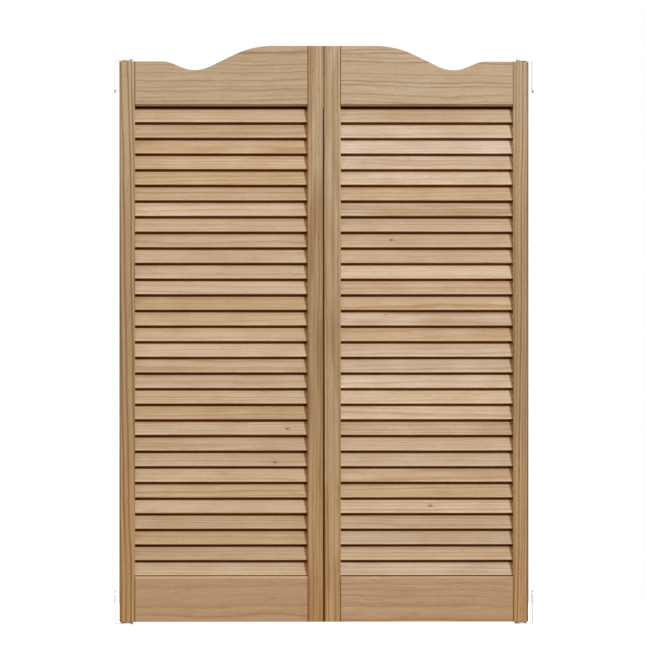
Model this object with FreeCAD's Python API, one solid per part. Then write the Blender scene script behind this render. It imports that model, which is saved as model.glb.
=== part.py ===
import FreeCAD, Part
import math
import os

# A pair of louvred cafe doors on double-acting spring pivots. Millimetres.
# X runs across the doorway, Y from front to back, Z up. The origin is midway between the leaves,
# midway through their thickness, at the underside of the lower jamb brackets.
# Everything is drawn once, for the left leaf, and mirrored in X for the right one.

# Leaf
leaf_width = 378.4
leaf_height = 1066.8
leaf_thickness = 28.6
stile_width = 28.6
inner_stile_width = 30.4
centre_gap = 0.8
jamb_gap = 9.5
edge_radius = 1.2

# Top rail, with heights counted down from the crest
top_rail_depth = 111.8
shoulder_drop = 29.0
shoulder_run = 80.0
valley_drop = 44.8
shoulder_radius = 44.0
fall_angle = 22.5
fall_valley_radius = 55.0
rise_valley_radius = 70.0
rise_angle = 26.0
crest_radius = 165.0

# Bottom rail, whose back stands higher than its front, and the bevel that both rails have towards the slats
bottom_rail_height = 84.6
bottom_rail_rise = 3.0
rail_bevel = 4.1

# Slats
slat_count = 30
slats_per_node = 3
slat_width = 40.0
slat_thickness = 6.0
slat_nose = 3.0
slat_tilt = 34.0
first_slat_drop = 29.7
last_slat_gap = 1.0
housing_depth = 7.5
housing_clearance = 0.15
slat_end_gap = 0.5
rabbet_face_clearance = 0.3
rabbet_roof_clearance = 0.8

# Dowels
dowel_radius = 4.75
dowel_clearance = 0.1
dowel_in_stile = 20.0
dowel_in_rail = 28.0
dowel_chamfer = 1.0
dowel_from_slats = 20.0
bottom_dowel_spacing = 22.0
dowel_under_screws = 2.0

# Jamb brackets
bracket_thickness = 2.5
bracket_width = 25.0
bracket_leg = 62.0
bracket_bend = 1.5
bracket_corner = 6.0
jamb_hole_radius = 2.25
jamb_head_radius = 4.4
jamb_hole_low = 23.0
jamb_hole_spacing = 28.0

# Pivots
pin_radius = 4.0
pin_chamfer = 0.8
pin_clearance = 0.05
running_gap = 0.3
washer_thickness = 2.0
washer_radius = 12.0
washer_wall = 3.4
upper_bush_radius = 6.0
upper_bush_length = 18.0
upper_flange_radius = 10.0
upper_flange_thickness = 1.5
upper_pin_end_gap = 2.0

# Door plates
plate_thickness = 2.0
plate_width = 20.0
plate_tail = 11.0
plate_reach = 47.0
plate_corner = 4.0
plate_screw_first = 24.0
plate_screw_spacing = 15.0

# Wood screws of the door plates
screw_radius = 2.0
screw_head_radius = 3.9
screw_length = 22.0
screw_tip = 4.0
recess_width = 0.9
recess_depth = 1.2

# Return spring and its socket
spring_radius = 6.6
spring_wire = 1.8
spring_pitch = 2.1
spring_turns = 5.25
spring_clearance = 0.4
spring_end_gap = 0.3
tang_clearance = 0.12
tang_depth = 5.0
tang_end_gap = 1.0
socket_wall = 1.1
socket_guide = 14.0
socket_end_gap = 2.0
socket_rib = 1.2

# Places that follow from the sizes above
half_thickness = leaf_thickness / 2
leaf_bottom = bracket_thickness + washer_thickness + running_gap
crest = leaf_bottom + leaf_height
shoulder = crest - shoulder_drop
opening_top = crest - top_rail_depth
opening_bottom = leaf_bottom + bottom_rail_height
outer_edge = -(centre_gap / 2 + leaf_width)
inner_edge = -centre_gap / 2
rail_start = outer_edge + stile_width
rail_end = inner_edge - inner_stile_width
pivot_x = outer_edge + half_thickness
jamb_x = outer_edge - jamb_gap
slat_pitch = (opening_top - first_slat_drop - opening_bottom - last_slat_gap) / (slat_count - 1)
tang_hole_radius = spring_wire * math.sqrt(0.5) + tang_clearance

# How far a cutting shape runs past the faces that it cuts, and how near a bound must be to count as level
past = 1.0
flush = 0.01


def vec(x, y, z):
    return FreeCAD.Vector(x, y, z)


def box(x0, x1, y0, y1, z0, z1):
    return Part.makeBox(x1 - x0, y1 - y0, z1 - z0, vec(x0, y0, z0))


def upright(radius, z0, z1, x=pivot_x, y=0.0):
    return Part.makeCylinder(radius, z1 - z0, vec(x, y, z0))


def outline_prism(edges, direction):
    return Part.Face(Part.Wire(edges)).extrude(direction)


def polygon_prism(points, direction):
    return Part.Face(Part.makePolygon(points + points[:1])).extrude(direction)


def line(a, b):
    return Part.LineSegment(a, b).toShape()


def arc(a, middle, b):
    return Part.Arc(a, middle, b).toShape()


def fillet_where(shape, radius, wanted):
    edges = [edge for edge in shape.Edges if wanted(edge)]
    return shape.makeFillet(radius, edges)


def cut_all(shape, tools):
    for tool in tools:
        shape = shape.cut(tool)
    return shape


# ---- top rail ----


def turn(start, radius, angle, bulge, rising):
    """The middle and the sloping end of an arc of the rail's upper edge that is level at start."""
    lean = math.radians(angle)
    half = lean / 2
    step = 1 if rising else -1

    def point(a):
        return vec(start.x + bulge * radius * math.sin(a), 0, start.z + step * radius * (1 - math.cos(a)))

    return point(half), point(lean)


def upper_edge():
    """The edges of the top rail's upper line, from the outer end to the inner end, in the plane Y = 0."""
    outer = vec(rail_start, 0, shoulder)
    brow = vec(outer_edge + shoulder_run, 0, shoulder)
    brow_mid, brow_end = turn(brow, shoulder_radius, fall_angle, 1, False)

    fall = math.radians(fall_angle)
    dip = valley_drop - shoulder_drop
    fall_height = dip - (shoulder_radius + fall_valley_radius) * (1 - math.cos(fall))
    fall_x = brow_end.x + fall_height / math.tan(fall) + fall_valley_radius * math.sin(fall)
    valley = vec(fall_x, 0, crest - valley_drop)
    left_mid, left_end = turn(valley, fall_valley_radius, fall_angle, -1, True)
    right_mid, right_end = turn(valley, rise_valley_radius, rise_angle, 1, True)

    rise = math.radians(rise_angle)
    rise_height = valley_drop - (rise_valley_radius + crest_radius) * (1 - math.cos(rise))
    crest_x = right_end.x + rise_height / math.tan(rise) + crest_radius * math.sin(rise)
    top = vec(crest_x, 0, crest)
    top_mid, top_end = turn(top, crest_radius, rise_angle, -1, False)
    inner = vec(rail_end, 0, crest)

    return [
        line(outer, brow),
        arc(brow, brow_mid, brow_end),
        line(brow_end, left_end),
        arc(left_end, left_mid, valley),
        arc(valley, right_mid, right_end),
        line(right_end, top_end),
        arc(top_end, top_mid, top),
        line(top, inner),
    ]


def top_rail():
    lower_outer = vec(rail_start, 0, opening_top)
    lower_inner = vec(rail_end, 0, opening_top)
    edges = upper_edge()
    edges.append(line(vec(rail_end, 0, crest), lower_inner))
    edges.append(line(lower_inner, lower_outer))
    edges.append(line(lower_outer, vec(rail_start, 0, shoulder)))
    rail = outline_prism(edges, vec(0, leaf_thickness, 0))
    rail.translate(vec(0, -half_thickness, 0))

    def on_upper_line(edge):
        box_ = edge.BoundBox
        flat = box_.YLength < flush
        return flat and box_.XLength > edge_radius and box_.ZMin > opening_top + rail_bevel

    rail = fillet_where(rail, edge_radius, on_upper_line)
    bevel = rail_bevel_prism(opening_top, 1, -1)
    return cut_all(rail, [bevel, top_slat_rabbet()] + top_dowel_holes() + upper_plate_cuts())


def rail_bevel_prism(level, up, side):
    """The corner that is planed off a rail's edge at level. up is 1 when the rail lies above it."""
    over = side * (half_thickness + past)
    run = side * (half_thickness - rail_bevel - past)
    points = [
        vec(rail_start - past, over, level + up * (rail_bevel + past)),
        vec(rail_start - past, over, level - up * past),
        vec(rail_start - past, run, level - up * past),
    ]
    return polygon_prism(points, vec(rail_end - rail_start + 2 * past, 0, 0))


def beside_slat(index, z, way):
    """The Y, at height z, of a plane along a slat's face with a clearance. way is -1 in front, 1 behind."""
    centre = slat_centre(index)
    lean = math.radians(slat_tilt)
    gap = slat_thickness / 2 + rabbet_face_clearance
    return centre.y + (z - centre.z) * math.tan(lean) + way * gap / math.cos(lean)


def rabbet_prism(index, way, low, high):
    """Cuts a rail from low to high, from the plane beside a slat to past the rail's face on the slat's side."""
    outside = -way * (half_thickness + past)
    points = [
        vec(rail_start - past, beside_slat(index, low, way), low),
        vec(rail_start - past, beside_slat(index, high, way), high),
        vec(rail_start - past, outside, high),
        vec(rail_start - past, outside, low),
    ]
    return polygon_prism(points, vec(rail_end - rail_start + 2 * past, 0, 0))


def top_slat_rabbet():
    """The room behind the top rail's lower edge for the highest slat."""
    roof = slat_nose_bottom(0) + slat_height() + rabbet_roof_clearance
    return rabbet_prism(0, -1, opening_top - past, roof)


def bottom_slat_rabbet():
    """The room in front of the bottom rail's raised back for the lowest slat's nose."""
    return rabbet_prism(slat_count - 1, 1, opening_bottom, opening_bottom + bottom_rail_rise + past)


def bottom_rail():
    top = opening_bottom + bottom_rail_rise
    rail = box(rail_start, rail_end, -half_thickness, half_thickness, leaf_bottom, top)
    cuts = [bottom_slat_rabbet(), rail_bevel_prism(opening_bottom, -1, -1), rail_bevel_prism(top, -1, 1)]
    return cut_all(rail, cuts + bottom_dowel_holes() + lower_plate_cuts())


# ---- slats ----


def slat_end_radius():
    half = slat_thickness / 2
    return (half * half + slat_nose * slat_nose) / (2 * slat_nose)


def slat_height():
    lean = math.radians(slat_tilt)
    radius = slat_end_radius()
    return 2 * ((slat_width / 2 - radius) * math.cos(lean) + radius)


def slat_nose_bottom(index):
    return opening_top - first_slat_drop - slat_pitch * index


def slat_centre(index):
    return vec(0, 0, slat_nose_bottom(index) + slat_height() / 2)


def slat_prism(index, x0, x1, grow):
    """A slat from x0 to x1, larger all round by grow, with its lower nose to the front."""
    lean = math.radians(slat_tilt)
    along = vec(0, math.sin(lean), math.cos(lean))
    across = vec(0, math.cos(lean), -math.sin(lean))
    half = slat_thickness / 2 + grow
    tip = slat_width / 2 + grow
    flat = tip - slat_nose
    centre = slat_centre(index) + vec(x0, 0, 0)

    def point(s, t):
        return centre + along * s + across * t

    edges = [
        line(point(-flat, -half), point(flat, -half)),
        arc(point(flat, -half), point(tip, 0), point(flat, half)),
        line(point(flat, half), point(-flat, half)),
        arc(point(-flat, half), point(-tip, 0), point(-flat, -half)),
    ]
    return outline_prism(edges, vec(x1 - x0, 0, 0))


def slat(index):
    reach = housing_depth - slat_end_gap
    return slat_prism(index, rail_start - reach, rail_end + reach, 0)


# ---- stiles ----


def housings(x0, x1):
    return [slat_prism(index, x0, x1, housing_clearance) for index in range(slat_count)]


def stile(x0, x1, top):
    body = box(x0, x1, -half_thickness, half_thickness, leaf_bottom, top)
    return fillet_where(body, edge_radius, lambda edge: edge.BoundBox.ZLength > leaf_height / 2)


def outer_stile():
    body = stile(outer_edge, rail_start, shoulder)
    cuts = housings(rail_start - housing_depth, rail_start + past)
    cuts += top_dowel_holes() + bottom_dowel_holes()
    cuts += upper_plate_cuts() + lower_plate_cuts()
    cuts += [upper_bush_blank(), socket_blank()]
    return body.cut(Part.makeCompound(cuts))


def inner_stile():
    body = stile(rail_end, inner_edge, crest)
    cuts = housings(rail_end - past, rail_end + housing_depth)
    cuts += top_dowel_holes() + bottom_dowel_holes()
    return body.cut(Part.makeCompound(cuts))


# ---- dowels ----


def dowel_joints():
    """Each joint between a rail and a stile: its X and the way from the stile into the rail."""
    return ((rail_start, 1), (rail_end, -1))


def dowel(joint_x, way, z, grow):
    start = vec(joint_x - way * (dowel_in_stile + grow), 0, z)
    length = dowel_in_stile + dowel_in_rail + 2 * grow
    rod = Part.makeCylinder(dowel_radius + grow, length, start, vec(way, 0, 0))
    return rod if grow else rod.makeChamfer(dowel_chamfer, [e for e in rod.Edges if e.Closed])


def dowels(levels, grow):
    return [dowel(x, way, z, grow) for x, way in dowel_joints() for z in levels]


def top_dowels(grow=0.0):
    """Two dowels at each end of the top rail, the higher one just under the door plate's screws."""
    high = shoulder - screw_length - dowel_under_screws - dowel_radius
    return dowels((opening_top + dowel_from_slats, high), grow)


def bottom_dowels(grow=0.0):
    high = opening_bottom - dowel_from_slats
    return dowels((high - bottom_dowel_spacing, high), grow)


def top_dowel_holes():
    return top_dowels(dowel_clearance)


def bottom_dowel_holes():
    return bottom_dowels(dowel_clearance)


# ---- door plates and their screws ----


def plate_blank(z0, z1):
    blank = box(pivot_x - plate_tail, pivot_x + plate_reach, -plate_width / 2, plate_width / 2, z0, z1)
    return fillet_where(blank, plate_corner, lambda edge: edge.BoundBox.ZLength > plate_thickness / 2)


def wood_screw(x, z, up):
    """A countersunk wood screw whose head is flush at z. up is 1 when it points upwards."""
    head_height = screw_head_radius - screw_radius
    along = vec(0, 0, up)
    head = Part.makeCone(screw_head_radius, screw_radius, head_height, vec(x, 0, z), along)
    shank_length = screw_length - head_height - screw_tip
    shank = Part.makeCylinder(screw_radius, shank_length, vec(x, 0, z + up * head_height), along)
    tip = Part.makeCone(screw_radius, 0, screw_tip, vec(x, 0, z + up * (screw_length - screw_tip)), along)
    return head.fuse([shank, tip]).removeSplitter()


def cross_recess(x, z, up):
    half = recess_width / 2
    arm = screw_head_radius / 2
    low, high = sorted((z - up, z + up * recess_depth))
    return box(x - arm, x + arm, -half, half, low, high).fuse(box(x - half, x + half, -arm, arm, low, high))


def plate_screw_places():
    first = pivot_x + plate_screw_first
    return (first, first + plate_screw_spacing)


def plate_screws(z, up):
    return [wood_screw(x, z, up).cut(cross_recess(x, z, up)) for x in plate_screw_places()]


def screw_cuts(z, up):
    return [wood_screw(x, z, up) for x in plate_screw_places()]


def upper_plate_cuts():
    return [plate_blank(shoulder - plate_thickness, shoulder + past)] + screw_cuts(shoulder, -1)


def lower_plate_cuts():
    return [plate_blank(leaf_bottom - past, leaf_bottom + plate_thickness)] + screw_cuts(leaf_bottom, 1)


def upper_door_plate():
    blank = plate_blank(shoulder - plate_thickness, shoulder)
    hole = upright(upper_bush_radius, shoulder - plate_thickness - past, shoulder + past)
    return cut_all(blank, [hole] + screw_cuts(shoulder, -1))


def lower_door_plate():
    blank = plate_blank(leaf_bottom, leaf_bottom + plate_thickness)
    hole = upright(chamber_radius(), leaf_bottom - past, leaf_bottom + plate_thickness + past)
    return cut_all(blank, [hole] + screw_cuts(leaf_bottom, 1))


# ---- upper pivot ----


def upper_arm_face():
    return shoulder + upper_flange_thickness + running_gap


def upper_bush_blank():
    return upright(upper_bush_radius, shoulder - upper_bush_length, shoulder)


def upper_bush():
    flange = upright(upper_flange_radius, shoulder, shoulder + upper_flange_thickness)
    bore = upright(
        pin_radius + pin_clearance,
        shoulder - upper_bush_length - past,
        shoulder + upper_flange_thickness + past,
    )
    return upper_bush_blank().fuse(flange).removeSplitter().cut(bore)


def upper_pivot_pin():
    low = shoulder - upper_bush_length + upper_pin_end_gap
    return pivot_pin(low, upper_arm_face() + bracket_thickness)


def pivot_pin(z0, z1):
    pin = upright(pin_radius, z0, z1)
    return pin.makeChamfer(pin_chamfer, [e for e in pin.Edges if e.Closed])


# ---- lower pivot ----


def chamber_radius():
    return spring_radius + spring_wire / 2 + spring_clearance


def chamber_top():
    return bracket_thickness + spring_clearance + spring_turns * spring_pitch + spring_wire + spring_end_gap


def socket_base():
    return leaf_bottom + plate_thickness


def socket_top():
    return chamber_top() + socket_guide


def socket_blank():
    """The outside of the spring socket, which is also the room for it in the stile."""
    radius = chamber_radius() + socket_wall
    half = socket_rib / 2
    reach = radius + socket_rib
    ribs = box(pivot_x - reach, pivot_x + reach, -half, half, socket_base(), socket_top())
    return upright(radius, socket_base(), socket_top()).fuse(ribs).removeSplitter()


def spring_angle_vector(turns):
    angle = 2 * math.pi * turns
    return vec(spring_radius * math.cos(angle), spring_radius * math.sin(angle), 0)


def spring_socket():
    chamber = upright(chamber_radius(), socket_base() - past, chamber_top())
    bore = upright(pin_radius + pin_clearance, chamber_top() - past, socket_top() + past)
    place = spring_angle_vector(spring_turns)
    tang_top = chamber_top() + tang_depth
    tang = upright(tang_hole_radius, chamber_top() - past, tang_top, pivot_x + place.x, place.y)
    return cut_all(socket_blank(), [chamber, bore, tang])


def lower_pivot_pin():
    return pivot_pin(0, socket_top() - socket_end_gap)


def thrust_washer():
    ring = upright(washer_radius, bracket_thickness, bracket_thickness + washer_thickness)
    return ring.cut(upright(washer_radius - washer_wall, 0, leaf_bottom))


def return_spring():
    """A torsion coil of square wire with an upright tang at each end."""
    half = spring_wire / 2
    base = bracket_thickness + spring_clearance
    helix = Part.makeHelix(spring_pitch, spring_pitch * spring_turns, spring_radius)
    corners = [
        vec(spring_radius - half, 0, -half),
        vec(spring_radius + half, 0, -half),
        vec(spring_radius + half, 0, half),
        vec(spring_radius - half, 0, half),
    ]
    section = Part.Wire(Part.makePolygon(corners + corners[:1]).Edges)
    coil = Part.Wire(helix.Edges).makePipeShell([section], True, True)
    coil.translate(vec(pivot_x, 0, base + half))

    lower = tang_box(0, 0, base + spring_wire)
    last_coil = chamber_top() - spring_end_gap - spring_wire
    upper = tang_box(spring_turns, last_coil, chamber_top() + tang_depth - tang_end_gap)
    return coil.fuse([lower, upper])


def tang_box(turns, z0, z1):
    half = spring_wire / 2
    tang = Part.makeBox(spring_wire, spring_wire, z1 - z0, vec(spring_radius - half, -half, z0))
    tang.rotate(vec(0, 0, 0), vec(0, 0, 1), 360 * turns)
    tang.translate(vec(pivot_x, 0, 0))
    return tang


# ---- jamb brackets ----


def angle_plate():
    """The lower bracket's bent plate, with its arm under the leaf and its leg up the jamb."""
    t = bracket_thickness
    inner = bracket_bend
    outer = bracket_bend + t
    reach = pivot_x + bracket_width / 2
    diagonal = 1 - math.sqrt(0.5)
    y = -bracket_width / 2
    inner_corner = vec(jamb_x + t, y, t)
    edges = [
        line(vec(jamb_x + outer, y, 0), vec(reach, y, 0)),
        line(vec(reach, y, 0), vec(reach, y, t)),
        line(vec(reach, y, t), inner_corner + vec(inner, 0, 0)),
        arc(
            inner_corner + vec(inner, 0, 0),
            inner_corner + vec(inner * diagonal, 0, inner * diagonal),
            inner_corner + vec(0, 0, inner),
        ),
        line(inner_corner + vec(0, 0, inner), vec(jamb_x + t, y, bracket_leg)),
        line(vec(jamb_x + t, y, bracket_leg), vec(jamb_x, y, bracket_leg)),
        line(vec(jamb_x, y, bracket_leg), vec(jamb_x, y, outer)),
        arc(
            vec(jamb_x, y, outer),
            vec(jamb_x + outer * diagonal, y, outer * diagonal),
            vec(jamb_x + outer, y, 0),
        ),
    ]
    plate = outline_prism(edges, vec(0, bracket_width, 0))

    def leg_corner(edge):
        box_ = edge.BoundBox
        return box_.ZMin > bracket_leg - flush and box_.YLength < flush

    plate = fillet_where(plate, bracket_corner, leg_corner)
    straight = box(jamb_x - past, pivot_x, y, -y, -past, bracket_leg + past)
    return plate.common(straight.fuse(upright(bracket_width / 2, -past, bracket_leg + past)))


def jamb_screw_holes():
    """Countersunk holes through the leg, with their heads on the side of the leaf."""
    holes = []
    depth = jamb_head_radius - jamb_hole_radius
    for z in (jamb_hole_low, jamb_hole_low + jamb_hole_spacing):
        start = vec(jamb_x - past, 0, z)
        holes.append(Part.makeCylinder(jamb_hole_radius, bracket_thickness + 2 * past, start, vec(1, 0, 0)))
        mouth = vec(jamb_x + bracket_thickness - depth, 0, z)
        holes.append(Part.makeCone(jamb_hole_radius, jamb_head_radius, depth, mouth, vec(1, 0, 0)))
    return holes


def plain_bracket():
    pin_hole = upright(pin_radius, -past, bracket_thickness + past)
    return cut_all(angle_plate(), jamb_screw_holes() + [pin_hole])


def lower_jamb_bracket():
    tang = upright(tang_hole_radius, -past, bracket_thickness + past, pivot_x + spring_radius)
    return plain_bracket().cut(tang)


def upper_jamb_bracket():
    flipped = plain_bracket().mirror(vec(0, 0, 0), vec(0, 0, 1))
    flipped.translate(vec(0, 0, upper_arm_face() + bracket_thickness))
    return flipped


# ---- every node ----


def slat_nodes():
    nodes = {}
    for first in range(0, slat_count, slats_per_node):
        group = range(first, min(first + slats_per_node, slat_count))
        nodes[f"slats_{first // slats_per_node + 1:02d}"] = [slat(index) for index in group]
    return nodes


def left_nodes():
    nodes = {
        "outer_stile": [outer_stile()],
        "inner_stile": [inner_stile()],
        "top_rail": [top_rail()],
        "bottom_rail": [bottom_rail()],
        "top_rail_dowels": top_dowels(),
        "bottom_rail_dowels": bottom_dowels(),
        "upper_door_plate": [upper_door_plate()],
        "lower_door_plate": [lower_door_plate()],
        "upper_plate_screws": plate_screws(shoulder, -1),
        "lower_plate_screws": plate_screws(leaf_bottom, 1),
        "upper_bush": [upper_bush()],
        "spring_socket": [spring_socket()],
        "return_spring": [return_spring()],
        "thrust_washer": [thrust_washer()],
        "upper_pivot_pin": [upper_pivot_pin()],
        "lower_pivot_pin": [lower_pivot_pin()],
        "upper_jamb_bracket": [upper_jamb_bracket()],
        "lower_jamb_bracket": [lower_jamb_bracket()],
    }
    nodes.update(slat_nodes())
    return nodes


def write(name, solids):
    shape = solids[0] if len(solids) == 1 else Part.makeCompound(solids)
    shape.exportStep(f"parts/{name}.step")
    volume = sum(solid.Volume for solid in shape.Solids)
    print(name, "solids", len(shape.Solids), "valid", shape.isValid(), "volume", round(volume, 1))


os.makedirs("parts", exist_ok=True)
for node_name, node_solids in left_nodes().items():
    write("left_" + node_name, node_solids)
    mirrored = [solid.mirror(vec(0, 0, 0), vec(1, 0, 0)) for solid in node_solids]
    write("right_" + node_name, mirrored)
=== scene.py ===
import bmesh
import bpy
import math
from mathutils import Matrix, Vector


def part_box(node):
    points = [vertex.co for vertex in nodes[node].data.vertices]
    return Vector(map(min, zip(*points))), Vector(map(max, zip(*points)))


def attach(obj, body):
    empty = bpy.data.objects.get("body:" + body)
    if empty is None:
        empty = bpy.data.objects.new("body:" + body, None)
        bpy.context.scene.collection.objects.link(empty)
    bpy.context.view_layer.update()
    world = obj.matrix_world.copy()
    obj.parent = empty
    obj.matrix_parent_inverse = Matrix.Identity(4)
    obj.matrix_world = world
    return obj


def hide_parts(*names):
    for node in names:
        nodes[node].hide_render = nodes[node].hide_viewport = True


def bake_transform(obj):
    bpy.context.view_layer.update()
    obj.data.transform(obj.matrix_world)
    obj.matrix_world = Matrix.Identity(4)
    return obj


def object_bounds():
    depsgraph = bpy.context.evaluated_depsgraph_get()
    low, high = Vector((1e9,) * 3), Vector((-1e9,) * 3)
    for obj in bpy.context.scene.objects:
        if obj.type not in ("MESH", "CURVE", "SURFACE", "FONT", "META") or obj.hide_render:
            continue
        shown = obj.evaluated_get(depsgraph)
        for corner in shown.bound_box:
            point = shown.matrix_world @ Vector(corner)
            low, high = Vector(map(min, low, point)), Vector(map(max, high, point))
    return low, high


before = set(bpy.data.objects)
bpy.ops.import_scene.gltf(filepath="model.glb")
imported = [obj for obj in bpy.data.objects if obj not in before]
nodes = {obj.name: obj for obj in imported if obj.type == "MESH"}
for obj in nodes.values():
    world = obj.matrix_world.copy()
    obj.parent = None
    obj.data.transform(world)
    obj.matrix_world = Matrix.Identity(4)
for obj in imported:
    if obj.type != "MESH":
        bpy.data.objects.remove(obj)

cadLow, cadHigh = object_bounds()
scene = bpy.context.scene
sides = ("left", "right")
millimetres = 1000.0  # in a metre
quarterTurn = 90.0    # degrees
sharpEdge = 30.0      # degrees; faces that meet at more than this keep a hard edge
acrossGrain = (0.0, 1.0, 1.0)  # takes out what lies along it
print("cafe doors: frame loaded,", len(nodes), "nodes")


# small helpers for node trees; a value may be a socket or a plain number, vector or colour

def feed(tree, value, socket):
    if isinstance(value, bpy.types.NodeSocket):
        tree.links.new(value, socket)
    elif value is not None:
        socket.default_value = value


def addNode(tree, kind, **settings):
    node = tree.nodes.new(kind)
    for key, value in settings.items():
        setattr(node, key, value)
    return node


def calc(tree, operation, *values, clamp=False):
    node = addNode(tree, "ShaderNodeMath", operation=operation, use_clamp=clamp)
    for value, socket in zip(values, node.inputs):
        feed(tree, value, socket)
    return node.outputs[0]


def times(tree, *values):
    product = values[0]
    for value in values[1:]:
        product = calc(tree, "MULTIPLY", product, value)
    return product


def scaled(tree, value, amount, base):  # the value times the amount, on top of the base
    return calc(tree, "MULTIPLY_ADD", value, amount, base)


def centred(tree, value):  # a noise, moved to lie about zero
    return calc(tree, "SUBTRACT", value, 0.5)


def flipped(tree, value):
    return calc(tree, "SUBTRACT", 1.0, value)


def between(tree, share, a, b):  # a where the share is 0, b where it is 1
    return scaled(tree, share, calc(tree, "SUBTRACT", b, a), a)


def vectorCalc(tree, operation, a, b=None):  # b is the factor when the operation is SCALE
    node = addNode(tree, "ShaderNodeVectorMath", operation=operation)
    feed(tree, a, node.inputs[0])
    feed(tree, b, node.inputs["Scale" if operation == "SCALE" else 1])
    return node.outputs["Value" if operation == "LENGTH" else "Vector"]


def centredVector(tree, value):
    return vectorCalc(tree, "SUBTRACT", value, (0.5, 0.5, 0.5))


def joinVector(tree, x=0.0, y=0.0, z=0.0):
    node = addNode(tree, "ShaderNodeCombineXYZ")
    for value, socket in zip((x, y, z), node.inputs):
        feed(tree, value, socket)
    return node.outputs[0]


def splitVector(tree, vector):
    node = addNode(tree, "ShaderNodeSeparateXYZ")
    feed(tree, vector, node.inputs[0])
    return node.outputs


def ramp(tree, value, low, high):  # 0 below low, 1 above high, smooth between
    node = addNode(tree, "ShaderNodeMapRange", interpolation_type="SMOOTHSTEP")
    for item, socket in zip((value, low, high, 0.0, 1.0), node.inputs):
        feed(tree, item, socket)
    return node.outputs[0]


def mixed(tree, factor, a, b):
    node = addNode(tree, "ShaderNodeMix", data_type="RGBA")
    feed(tree, factor, node.inputs[0])
    feed(tree, a, node.inputs[6])  # the sockets that take colours
    feed(tree, b, node.inputs[7])
    return node.outputs[2]


def noise(tree, vector, stretch, detail=2.0, roughness=0.5, output=0):
    node = addNode(tree, "ShaderNodeTexNoise")
    feed(tree, vectorCalc(tree, "MULTIPLY", vector, stretch), node.inputs["Vector"])
    node.inputs["Scale"].default_value = 1.0
    node.inputs["Detail"].default_value = detail
    node.inputs["Roughness"].default_value = roughness
    return node.outputs[output]


def boardCoordinates(tree, place, pith, turn=(0.0, 0.0, 0.0)):  # mm, X along the grain
    mapping = addNode(tree, "ShaderNodeMapping")
    mapping.inputs["Location"].default_value = pith
    mapping.inputs["Rotation"].default_value = turn
    mapping.inputs["Scale"].default_value = (millimetres, millimetres, millimetres)
    feed(tree, place, mapping.inputs["Vector"])
    return mapping.outputs[0]


def emptyTree(owner):
    owner.use_nodes = True
    owner.node_tree.nodes.clear()
    return owner.node_tree


def newShader(name):
    material = bpy.data.materials.new(name)
    tree = emptyTree(material)
    shader = addNode(tree, "ShaderNodeBsdfPrincipled")
    output = addNode(tree, "ShaderNodeOutputMaterial")
    tree.links.new(shader.outputs[0], output.inputs[0])
    return material, tree, shader


def bumpFrom(tree, height, shader, depth, strength):
    bump = addNode(tree, "ShaderNodeBump")
    bump.inputs["Strength"].default_value = strength
    bump.inputs["Distance"].default_value = depth
    feed(tree, height, bump.inputs["Height"])
    tree.links.new(bump.outputs[0], shader.inputs["Normal"])


def addObject(name, data):
    thing = bpy.data.objects.new(name, data)
    scene.collection.objects.link(thing)
    return thing


def smoothFaces(mesh):
    mesh.shade_smooth()
    mesh.set_sharp_from_angle(angle=math.radians(sharpEdge))


# camera: a long lens far off, a little to the left of square on, so that the seam closes

cameraView = {
    "distance": 20.0,
    "farthest": 80.0,
    "pictureWidth": 1.1963,
    "turn": -2.0,
    "centreX": -0.0022,
    "centreZ": 0.5584,
    "sensor": 36.0,
}


def placeCamera(view):
    data = bpy.data.cameras.new("camera")
    camera = addObject("camera", data)
    data.sensor_width = view["sensor"]
    data.lens = view["sensor"] * view["distance"] / view["pictureWidth"]
    data.clip_end = view["farthest"]
    turn = math.radians(view["turn"])
    target = Vector((view["centreX"], cadLow.y, view["centreZ"]))
    camera.location = target + view["distance"] * Vector((math.sin(turn), -math.cos(turn), 0.0))
    camera.rotation_euler = (math.radians(quarterTurn), 0.0, turn)
    scene.camera = camera


placeCamera(cameraView)


# light: a key from the front right, a broad soft fill from high on the left, two nearly level lamps
# for the back and an even room; azimuth is degrees round from the front to the right

lamps = {
    "keyLight": {
        "strength": 2.28,
        "azimuth": 14.0,
        "elevation": 22.5,
        "spread": 1.8,
        "colour": (1.0, 0.985, 0.96),
    },
    "fillLight": {
        "strength": 0.42,
        "azimuth": -40.0,
        "elevation": 38.0,
        "spread": 30.0,
        "colour": (1.0, 0.985, 0.95),
    },
    "backLight": {
        "strength": 0.9,
        "azimuth": 155.0,
        "elevation": 0.5,
        "spread": 5.0,
        "colour": (1.0, 0.99, 0.97),
    },
    "sideLight": {
        "strength": 0.9,
        "azimuth": -112.0,
        "elevation": 4.0,
        "spread": 8.0,
        "colour": (1.0, 0.99, 0.97),
    },
}
room = {"strength": 0.04, "colour": (1.0, 0.86, 0.70, 1.0), "backdrop": (1.0, 1.0, 1.0, 1.0)}


def placeSun(name, look):
    data = bpy.data.lights.new(name, "SUN")
    data.energy = look["strength"]
    data.angle = math.radians(look["spread"])
    data.color = look["colour"]
    azimuth, elevation = math.radians(look["azimuth"]), math.radians(look["elevation"])
    level = math.cos(elevation)
    towards = Vector((math.sin(azimuth) * level, -math.cos(azimuth) * level, math.sin(elevation)))
    addObject(name, data).rotation_euler = towards.to_track_quat("Z", "Y").to_euler()


def straightRays(tree):  # 1 for camera, glossy and transmission rays
    path = addNode(tree, "ShaderNodeLightPath").outputs
    seen = calc(tree, "MAXIMUM", path["Is Camera Ray"], path["Is Glossy Ray"])
    return calc(tree, "MAXIMUM", seen, path["Is Transmission Ray"])


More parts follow.
